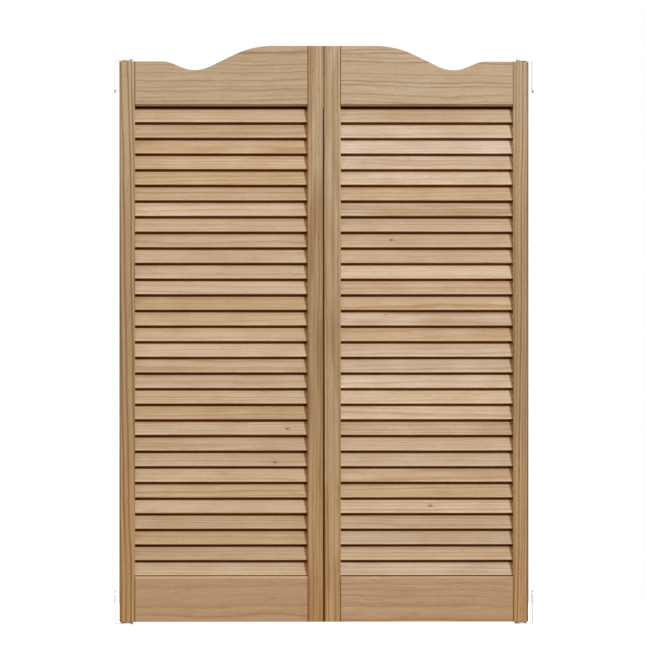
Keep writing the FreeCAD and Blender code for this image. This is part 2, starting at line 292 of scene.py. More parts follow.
def buildRoom(look):
    world = bpy.data.worlds.new("room")
    tree = emptyTree(world)
    lit = addNode(tree, "ShaderNodeBackground")
    lit.inputs["Color"].default_value = look["colour"]
    lit.inputs["Strength"].default_value = look["strength"]
    backdrop = addNode(tree, "ShaderNodeBackground")
    backdrop.inputs["Color"].default_value = look["backdrop"]
    both = addNode(tree, "ShaderNodeMixShader")
    feed(tree, straightRays(tree), both.inputs[0])
    feed(tree, lit.outputs[0], both.inputs[1])
    feed(tree, backdrop.outputs[0], both.inputs[2])
    output = addNode(tree, "ShaderNodeOutputWorld")
    feed(tree, both.outputs[0], output.inputs[0])
    scene.world = world


for lampName, lampLook in lamps.items():
    placeSun(lampName, lampLook)
buildRoom(room)
scene.view_settings.view_transform = "Standard"
print("cafe doors: camera and light placed")


# floor: well below the leaves, which hang between jambs; white where lit, and it keeps the shadow

floorLook = {
    "level": -0.35,
    "half": 15.0,
    "pale": (0.30, 0.25, 0.20, 1.0),   # to the wood
    "mirrored": (1.3, 1.3, 1.3, 1.0),  # by the metal, where full white would burn out
    "seen": (4.0, 4.0, 4.0, 1.0),      # by the camera
}


def layFloor(look):
    mesh = bpy.data.meshes.new("floor")
    half, level = look["half"], look["level"]
    front = [(-half, -half, level), (half, -half, level)]
    back = [(half, half, level), (-half, half, level)]
    mesh.from_pydata(front + back, [], [(0, 1, 2, 3)])
    floor = addObject("floor", mesh)
    material = bpy.data.materials.new("paleFloor")
    tree = emptyTree(material)
    path = addNode(tree, "ShaderNodeLightPath").outputs
    colour = mixed(tree, path["Is Glossy Ray"], look["pale"], look["mirrored"])
    colour = mixed(tree, path["Is Camera Ray"], colour, look["seen"])
    diffuse = addNode(tree, "ShaderNodeBsdfDiffuse")
    feed(tree, colour, diffuse.inputs[0])
    output = addNode(tree, "ShaderNodeOutputMaterial")
    feed(tree, diffuse.outputs[0], output.inputs[0])
    mesh.materials.append(material)


layFloor(floorLook)


# pine: growth rings round a far pith, dark latewood, fine fibres, resin flecks, and now and then a
# knot; whatever darkens it takes little red, more green and most blue, so every tone is the pale
# wood taken down by one depth

pineInputs = {
    "Place": ("NodeSocketVector", (0.0, 0.0, 0.0)),        # mm, X along the grain, pith on X
    "Ring Width": ("NodeSocketFloat", 5.0),                # mm
    "Waviness": ("NodeSocketFloat", 2.0),                  # mm
    "Evenness": ("NodeSocketFloat", 0.4),                  # 1 makes all rings equally strong
    "Line Width": ("NodeSocketFloat", 0.25),               # share of the ring that is dark latewood
    "Line": ("NodeSocketFloat", 0.5),                      # depths, from here to Band
    "Gold": ("NodeSocketFloat", 0.2),
    "Streak": ("NodeSocketFloat", 0.0),
    "Fibre": ("NodeSocketFloat", 1.0),
    "Band": ("NodeSocketFloat", 0.5),
    "Seed": ("NodeSocketFloat", 0.0),
    "End Grain": ("NodeSocketFloat", 0.0),                 # 1 where the face is cut across the grain
    "Knot Place": ("NodeSocketVector", (0.0, 0.0, 0.0)),   # mm, the same axes as Board Place
    "Board Place": ("NodeSocketVector", (0.0, 0.0, 0.0)),
    "Knot Size": ("NodeSocketFloat", 0.0),                 # mm
}

pineNoises = {  # stretch is cells for each mm, along the grain and across it
    "wander": {"stretch": (0.0055, 0.016, 0.016), "detail": 1.5, "output": 1},
    "ripple": {"stretch": (0.022, 0.09, 0.09), "detail": 2.0, "output": 1},
    "patchy": {"stretch": (0.009, 0.05, 0.05), "detail": 2.0},
    "band": {"stretch": (0.007, 0.30, 0.30), "detail": 2.0, "roughness": 0.6},
    "fibre": {"stretch": (0.035, 1.5, 1.5), "detail": 3.0, "roughness": 0.6},
    "fine": {"stretch": (0.12, 6.0, 6.0), "detail": 2.0, "roughness": 0.6},
    "fleck": {"stretch": (0.06, 0.95, 0.95), "detail": 0.0},
    "tone": {"stretch": (0.0035, 0.028, 0.028), "detail": 2.0},
    "streak": {"stretch": (0.0045, 0.07, 0.07), "detail": 1.5},
}

pineShape = {
    "seedShift": (37.0, 11.0, 23.0),  # mm for each unit of Seed
    "wander": 4.0,                    # shares of Waviness
    "ripple": 1.1,
    "unevenScale": 0.42,              # noise cells for each ring
    "unevenDetail": 1.0,
    "unevenRings": 1.7,               # how many rings it moves them
    "gold": (0.25, 0.9),              # shares of a ring: where it turns golden
    "lineStart": 0.88,                # where the line starts, less its width
    "stop": (0.93, 1.0),              # and where both end
    "patchy": (0.25, 0.6),
    "patchyLine": (0.45, 0.55),       # how much of the line comes and goes, and how much stays
    "fleck": (0.66, 0.76),
    "streak": (0.46, 0.60),
    "knotOval": (0.62, 1.0, 0.0),
    "knotLeast": 0.01,                # mm, so that nothing is divided by zero
    "knotFrom": 0.05,                 # mm, under which there is no knot
    "knotFade": -0.45,                # the bend round a knot
    "knotBend": 1.6,
    "rim": (0.7, 1.25),               # reaches in knot sizes
    "heart": (0.3, 0.8),
    "halo": (1.0, 3.6),
}

pineDepths = {
    "fibre": 0.42,
    "fine": 0.18,
    "fleck": 0.22,
    "tone": 0.22,
    "endGrain": 0.35,  # end grain drinks light
    "halo": 0.18,
    "rim": 1.3,
    "heart": -0.4,
}
pineRoughness = {"plain": 0.60, "line": -0.12, "fibre": 0.16, "endGrain": 0.15}
pineHeights = {"fibre": 0.9, "fine": 0.5, "line": 0.35, "fleck": -0.5}
pineFinish = {
    "deepening": (0.68, 1.0, 1.48),  # how fast red, green and blue go down
    "gloss": 0.25,                   # bare sanded wood has little
    "relief": 0.00022,               # metres
    "reliefStrength": 0.55,
}


def knotReach(tree, given):  # how far from the knot's middle, in knot sizes
    fromKnot = vectorCalc(tree, "SUBTRACT", given["Board Place"], given["Knot Place"])
    oval = vectorCalc(tree, "LENGTH", vectorCalc(tree, "MULTIPLY", fromKnot, pineShape["knotOval"]))
    size = calc(tree, "MAXIMUM", given["Knot Size"], pineShape["knotLeast"])
    return calc(tree, "DIVIDE", oval, size)


def warpedPlace(tree, given, along, reach):
    # the grain wanders, slowly and in ripples, and bends round a knot
    waves = []
    for name in ("wander", "ripple"):
        wave = centredVector(tree, noise(tree, along, **pineNoises[name]))
        share = times(tree, given["Waviness"], pineShape[name])
        waves.append(vectorCalc(tree, "SCALE", wave, share))
    place = vectorCalc(tree, "ADD", given["Place"], vectorCalc(tree, "ADD", *waves))
    nearKnot = calc(tree, "EXPONENT", times(tree, reach, pineShape["knotFade"]))
    bend = times(tree, nearKnot, given["Knot Size"], pineShape["knotBend"])
    return vectorCalc(tree, "ADD", place, joinVector(tree, y=bend))


def growthRings(tree, given, place):  # rings of uneven width, each with its own strength
    radius = vectorCalc(tree, "LENGTH", vectorCalc(tree, "MULTIPLY", place, acrossGrain))
    count = calc(tree, "DIVIDE", radius, given["Ring Width"])
    uneven = addNode(tree, "ShaderNodeTexNoise", noise_dimensions="1D")
    uneven.inputs["Scale"].default_value = pineShape["unevenScale"]
    uneven.inputs["Detail"].default_value = pineShape["unevenDetail"]
    feed(tree, calc(tree, "ADD", count, given["Seed"]), uneven.inputs["W"])
    count = calc(tree, "ADD", count, times(tree, uneven.outputs[0], pineShape["unevenRings"]))
    part = calc(tree, "FRACT", count)
    own = addNode(tree, "ShaderNodeTexWhiteNoise", noise_dimensions="1D")
    feed(tree, calc(tree, "ADD", calc(tree, "FLOOR", count), given["Seed"]), own.inputs["W"])
    strength = scaled(tree, own.outputs[0], flipped(tree, given["Evenness"]), given["Evenness"])
    stop = flipped(tree, ramp(tree, part, *pineShape["stop"]))
    gold = times(tree, ramp(tree, part, *pineShape["gold"]), stop, strength)
    lineStart = calc(tree, "SUBTRACT", pineShape["lineStart"], given["Line Width"])
    lineFull = flipped(tree, given["Line Width"])
    line = times(tree, ramp(tree, part, lineStart, lineFull), stop, strength)
    return gold, line


def pineGroup():
    tree = bpy.data.node_groups.new("pineGrain", "ShaderNodeTree")
    for name, (kind, value) in pineInputs.items():
        socket = tree.interface.new_socket(name=name, in_out="INPUT", socket_type=kind)
        socket.default_value = value
    for name in ("Depth", "Roughness", "Height"):
        tree.interface.new_socket(name=name, in_out="OUTPUT", socket_type="NodeSocketFloat")
    given = addNode(tree, "NodeGroupInput").outputs
    made = addNode(tree, "NodeGroupOutput")

    shift = vectorCalc(tree, "SCALE", pineShape["seedShift"], given["Seed"])
    along = vectorCalc(tree, "ADD", given["Place"], shift)
    reach = knotReach(tree, given)
    warped = warpedPlace(tree, given, along, reach)
    gold, line = growthRings(tree, given, warped)

    def grain(name):
        return noise(tree, along, **pineNoises[name])

    # lines that come and go, bands, fibres, resin flecks, broad tone and heartwood streaks
    patchy = ramp(tree, grain("patchy"), *pineShape["patchy"])
    line = times(tree, line, scaled(tree, patchy, *pineShape["patchyLine"]))
    band = noise(tree, vectorCalc(tree, "ADD", warped, shift), **pineNoises["band"])
    fibre = grain("fibre")
    fine = grain("fine")
    fleck = ramp(tree, grain("fleck"), *pineShape["fleck"])
    tone = grain("tone")
    streak = ramp(tree, grain("streak"), *pineShape["streak"])

    # the knot: golden halo, dark rim, lighter heart
    hasKnot = calc(tree, "GREATER_THAN", given["Knot Size"], pineShape["knotFrom"])
    halo, rim, heart = [
        times(tree, flipped(tree, ramp(tree, reach, *pineShape[name])), hasKnot)
        for name in ("halo", "rim", "heart")
    ]

    fines = times(tree, centred(tree, fine), pineDepths["fine"])
    layers = (
        (line, given["Line"]),
        (streak, given["Streak"]),
        (scaled(tree, centred(tree, fibre), pineDepths["fibre"], fines), given["Fibre"]),
        (centred(tree, band), given["Band"]),
        (fleck, pineDepths["fleck"]),
        (centred(tree, tone), pineDepths["tone"]),
        (given["End Grain"], pineDepths["endGrain"]),
        (halo, pineDepths["halo"]),
        (rim, pineDepths["rim"]),
        (heart, pineDepths["heart"]),
    )
    depth = times(tree, gold, given["Gold"])
    for layer, amount in layers:
        depth = scaled(tree, layer, amount, depth)

    roughness = scaled(tree, line, pineRoughness["line"], pineRoughness["plain"])
    roughness = scaled(tree, centred(tree, fibre), pineRoughness["fibre"], roughness)
    roughness = scaled(tree, given["End Grain"], pineRoughness["endGrain"], roughness)
    height = scaled(tree, fibre, pineHeights["fibre"], times(tree, fine, pineHeights["fine"]))
    height = scaled(tree, line, pineHeights["line"], height)
    height = scaled(tree, fleck, pineHeights["fleck"], height)
    for name, socket in (("Depth", depth), ("Roughness", roughness), ("Height", height)):
        feed(tree, socket, made.inputs[name])
    return tree


pineGrain = pineGroup()


def pineInto(tree, shader, pale, values, more=None, gain=None):
    # more is added depth, gain a plain scale
    group = addNode(tree, "ShaderNodeGroup", node_tree=pineGrain)
    for name, value in values.items():
        feed(tree, value, group.inputs[name])
    depth = group.outputs["Depth"]
    if more is not None:
        depth = calc(tree, "ADD", depth, more)
    left = [calc(tree, "EXPONENT", times(tree, depth, -rate)) for rate in pineFinish["deepening"]]
    colour = vectorCalc(tree, "MULTIPLY", pale, joinVector(tree, *left))
    if gain is not None:
        colour = vectorCalc(tree, "SCALE", colour, gain)
    tree.links.new(colour, shader.inputs["Base Color"])
    tree.links.new(group.outputs["Roughness"], shader.inputs["Roughness"])
    shader.inputs["Specular IOR Level"].default_value = pineFinish["gloss"]
    relief, strength = pineFinish["relief"], pineFinish["reliefStrength"]
    bumpFrom(tree, group.outputs["Height"], shader, relief, strength)


def grainValues(look):
    return {name: value for name, value in look.items() if name in pineInputs}


# stiles and rails: each board has its own pith (mm: along, depth, side), lean of the grain (degrees:
# aside, in) and tone

boards = {
    "left_outer_stile": {
        "grain": "Z", "pale": "stile", "deeper": 0.07,
        "pith": (120.0, 26.0, 300.0), "lean": (1.0, 0.2),
        "Ring Width": 9.0, "Waviness": 1.6, "Evenness": 0.7, "Line Width": 0.34, "Line": 0.8,
        "Gold": 0.16, "Seed": 1.3,
    },
    "left_inner_stile": {
        "grain": "Z", "pale": "stile", "deeper": 0.03,
        "pith": (400.0, 40.0, -150.0), "lean": (-0.3, 0.35),
        "Ring Width": 6.6, "Waviness": 2.2, "Evenness": 0.3, "Line Width": 0.3, "Line": 0.32,
        "Gold": 0.22, "Streak": 0.26, "Seed": 4.1,
    },
    "right_inner_stile": {
        "grain": "Z", "pale": "stile", "deeper": -0.1,
        "pith": (-60.0, -34.0, 190.0), "lean": (0.4, -0.3),
        "Ring Width": 8.4, "Waviness": 1.9, "Evenness": 0.3, "Line Width": 0.3, "Line": 0.34,
        "Gold": 0.24, "Streak": 0.26, "Seed": 7.7,
    },
    "right_outer_stile": {
        "grain": "Z", "pale": "stile", "deeper": -0.02,
        "pith": (250.0, 30.0, -330.0), "lean": (-0.6, 0.25),
        "Ring Width": 6.2, "Waviness": 1.5, "Evenness": 0.6, "Line Width": 0.32, "Line": 0.66,
        "Gold": 0.16, "Seed": 9.2,
    },
    "left_top_rail": {
        "grain": "X", "pale": "topRail", "deeper": -0.05,
        "pith": (40.0, 45.0, -860.0), "lean": (0.3, 0.4),
        "Ring Width": 9.5, "Waviness": 3.6, "Evenness": 0.2, "Line Width": 0.13, "Line": 0.44,
        "Gold": 0.12, "Seed": 12.4,
    },
    "right_top_rail": {
        "grain": "X", "pale": "topRail", "deeper": -0.11,
        "pith": (-90.0, 38.0, -840.0), "lean": (-0.4, -0.3),
        "Ring Width": 11.0, "Waviness": 3.8, "Evenness": 0.3, "Line Width": 0.13, "Line": 0.78,
        "Gold": 0.15, "Seed": 15.9,
    },
    "left_bottom_rail": {
        "grain": "X", "pale": "bottomRail", "deeper": -0.02,
        "pith": (10.0, 60.0, -330.0), "lean": (0.5, 0.8),
        "Ring Width": 26.0, "Waviness": 5.0, "Evenness": 0.4, "Line Width": 0.2, "Line": 0.17,
        "Gold": 0.12, "Seed": 18.6, "Band": 0.3,
    },
    "right_bottom_rail": {
        "grain": "X", "pale": "bottomRail", "deeper": -0.05,
        "pith": (-30.0, 54.0, -300.0), "lean": (-0.6, -0.7),
        "Ring Width": 17.0, "Waviness": 4.5, "Evenness": 0.4, "Line Width": 0.2, "Line": 0.22,
        "Gold": 0.16, "Seed": 21.5,
    },
}

boardPales = {
    "stile": (0.490, 0.328, 0.176),
    "topRail": (0.590, 0.433, 0.275),
    "bottomRail": (0.519, 0.325, 0.187),
}
endGrainFacing = (0.6, 0.85)  # how squarely a face lies across the grain

# painted light: the stiles are painted paler towards their tops, where more light falls from above,
# and richer towards their feet; heights in metres
stilePaintedTopLight = {"low": 0.55, "high": 1.05, "depth": -0.37}
stileFoot = {"low": 0.05, "high": 0.45, "depth": 0.27, "gain": 0.30}

# painted shade, added as depth along the stiles' arrises: on the arrises turned from the key light,
# on the outer edges and in the seam between the leaves, with painted light on part of the right
# leaf's seam arris and dark joint lines beside the rails; by rows beside the top rail, at the top
# and the foot of the slats, and beside the bottom rail; it is full up to start and gone at end, in
# metres in from the arris
arrises = {
    "farLeft": {"rows": (0.45, 0.5, 0.5, 0.55), "start": 0.0018, "end": 0.0028},
    "farRight": {"rows": (0.85, 0.7, 0.7, 0.95), "start": 0.0022, "end": 0.0031},
    "shaded": {"rows": (0.5, 0.22, 0.22, 0.5), "start": 0.0010, "end": 0.0042},
    "lit": {"rows": (1.0, 0.0, 0.0, 1.0), "start": 0.0010, "end": 0.0022},
    "seamLeft": {"rows": (0.75, 3.4, 3.0, 2.4), "start": 0.0018, "end": 0.0024},
    "seamRight": {"rows": (-0.1, -0.5, 0.6, 1.0), "start": 0.0010, "end": 0.0018},
}
stileArrises = {  # low X side, high X side
    "left_outer_stile": ("farLeft", "lit"),
    "left_inner_stile": ("shaded", "seamLeft"),
    "right_inner_stile": ("seamRight", "lit"),
    "right_outer_stile": ("shaded", "farRight"),
}
arrisHeights = {"foot": 0.088, "head": 0.955, "soft": 0.004}

# where a rail's end meets its stile, and painted light and shade on the bevels: the bottom rail's,
# which faces up, is painted paler than its face, and the top rail's, which faces down, is painted
# darker as shade; reach is from the rail's highest or lowest point
jointLook = {"depth": 0.5, "start": 0.0002, "end": 0.0012}
bevelLook = {
    "bottom": {"depth": -0.31, "reach": 0.0073, "soft": 0.0006},
    "top": {"depth": 0.42, "reach": 0.0043, "soft": 0.0006},
}


def fromCorners(tree, place, name):  # distances in from a board's low and high faces
    low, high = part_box(name)
    fromLow = splitVector(tree, vectorCalc(tree, "SUBTRACT", place, low))
    fromHigh = splitVector(tree, vectorCalc(tree, "SUBTRACT", high, place))
    return fromLow, fromHigh


def arrisPaintedShade(tree, look, reach, height):
    top, upper, lower, bottom = look["rows"]
    foot, head, soft = arrisHeights["foot"], arrisHeights["head"], arrisHeights["soft"]
    share = calc(tree, "DIVIDE", calc(tree, "SUBTRACT", height, foot), head - foot, clamp=True)
    depth = between(tree, share, lower, upper)
    depth = between(tree, ramp(tree, height, head - soft, head + soft), depth, top)
    depth = between(tree, ramp(tree, height, foot - soft, foot + soft), bottom, depth)
    return times(tree, flipped(tree, ramp(tree, reach, look["start"], look["end"])), depth)


def stileDepth(tree, place, name):
    fromLow, fromHigh = fromCorners(tree, place, name)
    inward = calc(tree, "MINIMUM", fromLow["Y"], fromHigh["Y"])
    height = splitVector(tree, place)["Z"]
    # painted light: paler towards the top; the feet are richer
    depth = times(tree, ramp(tree, height, stilePaintedTopLight["low"], stilePaintedTopLight["high"]), stilePaintedTopLight["depth"])
    foot = ramp(tree, height, stileFoot["high"], stileFoot["low"])
    depth = scaled(tree, foot, stileFoot["depth"], depth)
    # painted shade along the arrises and in the seam between the leaves
    for fromSide, kind in zip((fromLow, fromHigh), stileArrises[name]):
        reach = calc(tree, "MAXIMUM", fromSide["X"], inward)
        depth = calc(tree, "ADD", depth, arrisPaintedShade(tree, arrises[kind], reach, height))
    return depth, scaled(tree, foot, stileFoot["gain"], 1.0)


def railDepth(tree, place, name):
    fromLow, fromHigh = fromCorners(tree, place, name)
    reach = calc(tree, "MINIMUM", fromLow["X"], fromHigh["X"])
    near = flipped(tree, ramp(tree, reach, jointLook["start"], jointLook["end"]))
    depth = times(tree, near, jointLook["depth"])
    # painted light on the bottom rail's bevel, which faces up, and painted shade on the top rail's
    if "bottom" in name:
        fromEdge, look = fromHigh["Z"], bevelLook["bottom"]
    else:
        fromEdge, look = fromLow["Z"], bevelLook["top"]
    bevel = ramp(tree, fromEdge, look["reach"], look["reach"] - look["soft"])
    return scaled(tree, bevel, look["depth"], depth), None


def boardMaterial(name, look):
    material, tree, shader = newShader("pine_" + name)
    coordinates = addNode(tree, "ShaderNodeTexCoord").outputs
    upright = look["grain"] == "Z"
    leanAside, leanIn = look["lean"]
    turn = (0.0, math.radians((quarterTurn if upright else 0.0) + leanAside), math.radians(leanIn))
    facing = calc(tree, "ABSOLUTE", splitVector(tree, coordinates["Normal"])[look["grain"]])
    values = grainValues(look)
    values["Place"] = boardCoordinates(tree, coordinates["Object"], look["pith"], turn)
    values["End Grain"] = ramp(tree, facing, *endGrainFacing)
    addedDepth = stileDepth if upright else railDepth
    more, gain = addedDepth(tree, coordinates["Object"], name)
    more = calc(tree, "ADD", more, look["deeper"])
    pineInto(tree, shader, boardPales[look["pale"]], values, more, gain)
    return material


def dress(name, material):
    for slot in nodes[name].material_slots:
        slot.material = material


for boardName, boardLook in boards.items():
    dress(boardName, boardMaterial(boardName, boardLook))
print("cafe doors: stiles and rails in pine")


# slats: one Geometry Nodes tree makes a leaf's thirty bullnosed slats, each with its own cut of wood

slatSizes = {  # metres and degrees; the pitch and what is 0 here are set for each leaf
    "Count": 30,
    "Pitch": 0.0289767,
    "Top Centre": 0.0,
    "Width": 0.040,
    "Thickness": 0.006,
    "Nose": 0.003,
    "Tilt": 34.0,
    "Length": 0.0,
    "Housed": 0.0,
    "Centre": 0.0,
    "Bow": 0.00015,
    "Seed": 0,
    "Deeper": 0.0,
}
slatSides = {"left": {"Seed": 5, "Deeper": 0.03}, "right": {"Seed": 12, "Deeper": -0.08}}
shadedStile = {"left": "left_inner_stile", "right": "right_outer_stile"}
slatNodes = [f"slats_{number:02d}" for number in range(1, 11)]
slatSteps = {"nose": 9, "length": 25}   # points round each edge and along the slat
slatBow = {"waves": 0.8, "gain": 4.0}   # noise cells in half a length, and what brings it to the bow

# what is drawn for each slat, between least and most; the salt is added to the leaf's seed
slatChances = {
    "pith": {"salt": 1.0, "least": (-400.0, 14.0, 12.0), "most": (400.0, 95.0, 80.0)},     # mm
    "tone": {"salt": 2.0, "least": (-1.0, -1.0, 0.0), "most": (1.0, 1.0, 1.0)},
    "ring": {"salt": 3.0, "least": 4.2, "most": 8.5},                                      # mm
    "heart": {"salt": 4.0, "least": 0.0, "most": 1.0},
    "knot": {"salt": 5.0, "least": 0.0, "most": 1.0},
    "knotPlace": {"salt": 6.0, "least": (-130.0, -14.0, 0.0), "most": (130.0, 2.0, 0.0)},  # mm
    "slant": {"salt": 7.0, "least": -0.02, "most": 0.02},
}
slatHeart = (0.86, 0.93)                # draws that give some heartwood, and full heartwood
slatKnot = {"above": 0.9, "size": 1.7}  # draws that give a knot, and its size in mm


def step(tree, kind, source=None, **settings):  # a node that takes its geometry from the source
    node = addNode(tree, kind, **settings)
    feed(tree, source, node.inputs[0])
    return node


def stored(tree, source, name, value, kind="FLOAT", domain="INSTANCE"):
    node = step(tree, "GeometryNodeStoreNamedAttribute", source, data_type=kind, domain=domain)
    node.inputs["Name"].default_value = name
    feed(tree, value, node.inputs["Value"])
    return node.outputs[0]


def recalled(tree, name):
    node = addNode(tree, "GeometryNodeInputNamedAttribute", data_type="FLOAT_VECTOR")
    node.inputs["Name"].default_value = name
    return node.outputs[0]


def slatSection(tree, given):
    # width along X, thickness along Y, each edge an arc through its corners and its tip
    half = times(tree, given["Thickness"], 0.5)
    tip = times(tree, given["Width"], 0.5)
    flat = calc(tree, "SUBTRACT", tip, given["Nose"])
    noses = step(tree, "GeometryNodeJoinGeometry")
    for way in (-1.0, 1.0):
        corner = times(tree, flat, way)
        arc = addNode(tree, "GeometryNodeCurveArc", mode="POINTS")
        arc.inputs["Resolution"].default_value = slatSteps["nose"]
        feed(tree, joinVector(tree, corner, times(tree, half, -way)), arc.inputs["Start"])
        feed(tree, joinVector(tree, times(tree, tip, way)), arc.inputs["Middle"])
        feed(tree, joinVector(tree, corner, times(tree, half, way)), arc.inputs["End"])
        tree.links.new(arc.outputs["Curve"], noses.inputs[0])
    points = step(tree, "GeometryNodeCurveToPoints", noses.outputs[0], mode="EVALUATED")
    section = step(tree, "GeometryNodePointsToCurves", points.outputs[0])
    closed = step(tree, "GeometryNodeSetSplineCyclic", section.outputs[0])
    closed.inputs["Cyclic"].default_value = True
    return closed.outputs[0]


def sweptSlat(tree, section, reach):  # each point keeps its place in the board
    path = addNode(tree, "GeometryNodeCurvePrimitiveLine")
    feed(tree, joinVector(tree, times(tree, reach, -1.0)), path.inputs["Start"])
    feed(tree, joinVector(tree, reach), path.inputs["End"])
    even = step(tree, "GeometryNodeResampleCurve", path.outputs[0])
    even.inputs["Count"].default_value = slatSteps["length"]
    swept = step(tree, "GeometryNodeCurveToMesh", even.outputs[0])
    feed(tree, section, swept.inputs["Profile Curve"])
    swept.inputs["Fill Caps"].default_value = True
    position = addNode(tree, "GeometryNodeInputPosition").outputs[0]
    return stored(tree, swept.outputs[0], "boardPlace", position, "FLOAT_VECTOR", "POINT")


def slatRow(tree, given, slat):
    # one at each step down the leaf, tilted so its lower nose is to the front
    row = addNode(tree, "GeometryNodeMeshLine", mode="OFFSET")
    feed(tree, given["Count"], row.inputs["Count"])
    first = joinVector(tree, given["Centre"], 0.0, given["Top Centre"])
    feed(tree, first, row.inputs["Start Location"])
    down = joinVector(tree, 0.0, 0.0, times(tree, given["Pitch"], -1.0))
    feed(tree, down, row.inputs["Offset"])
    lean = calc(tree, "RADIANS", calc(tree, "SUBTRACT", quarterTurn, given["Tilt"]))
    spread = step(tree, "GeometryNodeInstanceOnPoints", row.outputs[0])
    feed(tree, slat, spread.inputs["Instance"])
    feed(tree, joinVector(tree, lean), spread.inputs["Rotation"])
    return spread.outputs[0]


def slatTraits(tree, given, flow, reach):  # what the material reads of each slat
    def drawn(name):
        look = slatChances[name]
        isVector = isinstance(look["least"], tuple)
        kind = "FLOAT_VECTOR" if isVector else "FLOAT"
        node = addNode(tree, "FunctionNodeRandomValue", data_type=kind)
        feed(tree, calc(tree, "ADD", given["Seed"], look["salt"]), node.inputs["Seed"])
        least = 0 if isVector else 2  # the place of the kind's own input, with the most after it
        node.inputs[least].default_value = look["least"]
        node.inputs[least + 1].default_value = look["most"]
        return node.outputs[0 if isVector else 1]

    flow = stored(tree, flow, "slatPith", drawn("pith"), "FLOAT_VECTOR")
    flow = stored(tree, flow, "slatTone", drawn("tone"), "FLOAT_VECTOR")
    flow = stored(tree, flow, "slatDeeper", given["Deeper"])
    flow = stored(tree, flow, "slatEnd", calc(tree, "SUBTRACT", reach, given["Housed"]))
    flow = stored(tree, flow, "slatSlant", drawn("slant"))
    flow = stored(tree, flow, "slatRing", drawn("ring"))
    flow = stored(tree, flow, "slatStreak", ramp(tree, drawn("heart"), *slatHeart))
    knotted = calc(tree, "GREATER_THAN", drawn("knot"), slatKnot["above"])
    flow = stored(tree, flow, "slatKnot", times(tree, knotted, slatKnot["size"]))
    return stored(tree, flow, "slatKnotPlace", drawn("knotPlace"), "FLOAT_VECTOR")


def bowedSlats(tree, given, slats, reach):
    # dried thin stock is never quite straight, but its housings hold its ends
    pith = recalled(tree, "slatPith")
    share = calc(tree, "DIVIDE", splitVector(tree, recalled(tree, "boardPlace"))["X"], reach)
    dies = calc(tree, "SUBTRACT", 1.0, times(tree, share, share), clamp=True)
    wave = addNode(tree, "ShaderNodeTexNoise")
    wavePlace = vectorCalc(tree, "ADD", joinVector(tree, times(tree, share, slatBow["waves"])), pith)
    feed(tree, wavePlace, wave.inputs["Vector"])
    wave.inputs["Scale"].default_value = 1.0
    wave.inputs["Detail"].default_value = 1.0
    bow = vectorCalc(tree, "MULTIPLY", centredVector(tree, wave.outputs[1]), acrossGrain)
    amount = times(tree, given["Bow"], slatBow["gain"], dies)
    bent = step(tree, "GeometryNodeSetPosition", slats)
    feed(tree, vectorCalc(tree, "SCALE", bow, amount), bent.inputs["Offset"])
    return bent.outputs[0]


def slatTree(material):
    tree = bpy.data.node_groups.new("louvreSlats", "GeometryNodeTree")
    for name, value in slatSizes.items():
        kind = "NodeSocketInt" if isinstance(value, int) else "NodeSocketFloat"
        socket = tree.interface.new_socket(name=name, in_out="INPUT", socket_type=kind)
        socket.default_value = value
    tree.interface.new_socket(name="Geometry", in_out="OUTPUT", socket_type="NodeSocketGeometry")
    given = addNode(tree, "NodeGroupInput").outputs
    made = addNode(tree, "NodeGroupOutput")
    reach = times(tree, given["Length"], 0.5)
    slat = sweptSlat(tree, slatSection(tree, given), reach)
    row = slatTraits(tree, given, slatRow(tree, given, slat), reach)
    real = step(tree, "GeometryNodeRealizeInstances", row)
    done = step(tree, "GeometryNodeSetMaterial", bowedSlats(tree, given, real.outputs[0], reach))
    done.inputs["Material"].default_value = material
    tree.links.new(done.outputs[0], made.inputs[0])
    return tree


slatLook = {
    "pale": (0.63, 0.46, 0.305),
    "pinker": (0.015, 0.005, -0.010),
    "waviness": 1.8,
    "line": (0.14, 0.30),        # least and most depth of the dark lines
    "gold": (0.08, 0.14),
    "streak": 0.22,
    "fibre": 0.8,
    "band": 0.22,
    "own": 0.165,                # depth from slat to slat
    "cloud": 0.38,               # depth along a slat
    "cloudNoise": {"stretch": (0.013, 0.03, 0.03), "detail": 1.5},
    "topLightDepth": -0.17,               # painted light from above: depth for each metre above the middle
    "topLightGain": 0.06,              # and painted plain lightness
    "middle": 0.5,
}

# painted shade and a painted highlight on the slats; from and full are the limits of a soft edge: mm
# across the slat for its lower nose and for the throat that the slat above covers, mm through it for
# the painted highlight on the nose and the painted shade under it, and heights for the painted shade
# just under the top rail and just over the bottom rail
slatPaintedShading = {
    "nose": {"from": -16.0, "full": -17.5},
    "noseHighlight": {"from": 2.9, "full": 1.5, "gain": 0.75},
    "under": {"from": -0.8, "full": -1.5, "depth": 0.35},
    "throat": {"from": 5.0, "full": 8.6, "depth": 1.45},
    "first": {"from": 0.9520, "full": 0.9538, "depth": 0.8},
    "last": {"from": 0.0918, "full": 0.0912, "depth": 2.2},
}

# the end beside the shaded stile: painted shade next to the stile's real shadow and painted light
# within it; depth within its shadow and next to that, and where each ends (mm)
slatWedge = {
    "depth": (0.0, 1.1),
    "gain": 0.95,
    "slope": 0.155,  # mm for each mm up the slat
    "inner": (-1.3, -0.5),
    "outer": (2.5, 3.1),
}

# painted shade in the throat's corner at the other end, in mm
slatCorner = {"depth": 0.9, "reach": (1.2, 1.9)}


